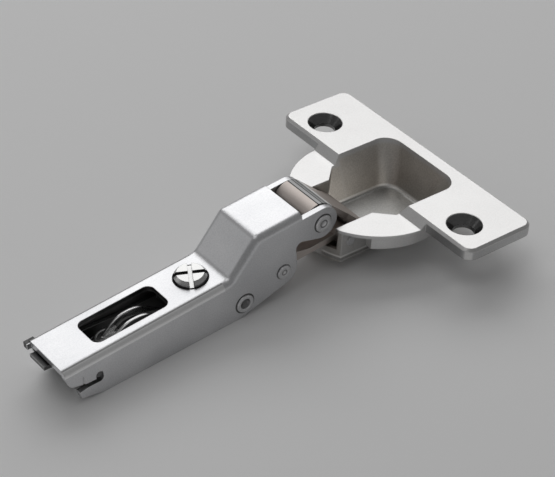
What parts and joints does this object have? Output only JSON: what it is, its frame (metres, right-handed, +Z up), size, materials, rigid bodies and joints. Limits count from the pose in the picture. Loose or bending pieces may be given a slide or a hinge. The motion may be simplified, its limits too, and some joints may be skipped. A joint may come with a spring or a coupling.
{
  "type": "concealed cup hinge",
  "caption": "Clip-on concealed cabinet hinge: cranked arm, two links, sprung fold, screw-on cup with wing plate.",
  "frame": {"origin": "mid-width at the rear end of the arm, on the level its lower edges lie on", "axes": "+X along the arm towards the cup, +Y across, +Z up out of the cup's plate"},
  "size_m": [0.107, 0.0648, 0.02],
  "materials": {
    "arm_plate": "satin nickel plate",
    "cup_plate": "satin nickel plate",
    "link_plate": "satin nickel plate",
    "bracket_plate": "zinc plate",
    "screw_plate": "bright plate",
    "pin_steel": "plated steel",
    "spring_steel": "oiled spring steel"
  },
  "bodies": {
    "arm": {"hinge_arm": "arm_plate", "tip_pin": "pin_steel", "lower_pin": "pin_steel", "spring_rivet": "pin_steel", "closing_spring": "spring_steel"},
    "outer_link": {"outer_link": "link_plate"},
    "cup": {"cup": "cup_plate", "cup_pin_front": "pin_steel", "cup_pin_rear": "pin_steel"},
    "inner_link": {"inner_link": "link_plate"},
    "bracket": {"bracket": "bracket_plate", "lever_pin": "pin_steel", "lever_spring": "spring_steel"},
    "overlay_screw": {"overlay_screw": "screw_plate"},
    "release_lever": {"release_lever": "bracket_plate"}
  },
  "joints": [
    {"name": "cup_fold", "type": "hinge", "parent": "outer_link", "child": "cup", "pos_m": [0.07915, 0, 0.00505], "axis": [0, -1, 0], "range_deg": [0, 136.92]},
    {"name": "outer_fold", "type": "hinge", "parent": "arm", "child": "outer_link", "pos_m": [0.06699, 0, 0.01466], "axis": [0, -1, 0], "range_deg": [-41.5, 0.5]},
    {"name": "inner_fold", "type": "hinge", "parent": "cup", "child": "inner_link", "pos_m": [0.07343, 0, 0.00727], "axis": [0, -1, 0], "range_deg": [-153.5, 0.5]},
    {"name": "bracket_tilt", "type": "hinge", "parent": "arm", "child": "bracket", "pos_m": [0.00816, 0, 0.00516], "axis": [0, -1, 0], "range_deg": [-2, 2]},
    {"name": "overlay_turn", "type": "hinge", "parent": "bracket", "child": "overlay_screw", "pos_m": [0.03665, 0, 0.00928], "axis": [-0.0323, 0, 0.9995], "range_deg": [-361, 361]},
    {"name": "lever_press", "type": "hinge", "parent": "bracket", "child": "release_lever", "pos_m": [0.01374, 0, 0.00294], "axis": [0, 1, 0], "range_deg": [0, 12], "stiffness_Nm_per_rad": 0.05, "springref_deg": -5.73}
  ],
  "couplings": [
    {"joint": "outer_fold", "follows": "cup_fold", "ratio": -0.29214},
    {"joint": "inner_fold", "follows": "cup_fold", "ratio": -1.0876},
    {"joint": "overlay_turn", "follows": "bracket_tilt", "ratio": 180}
  ]
}
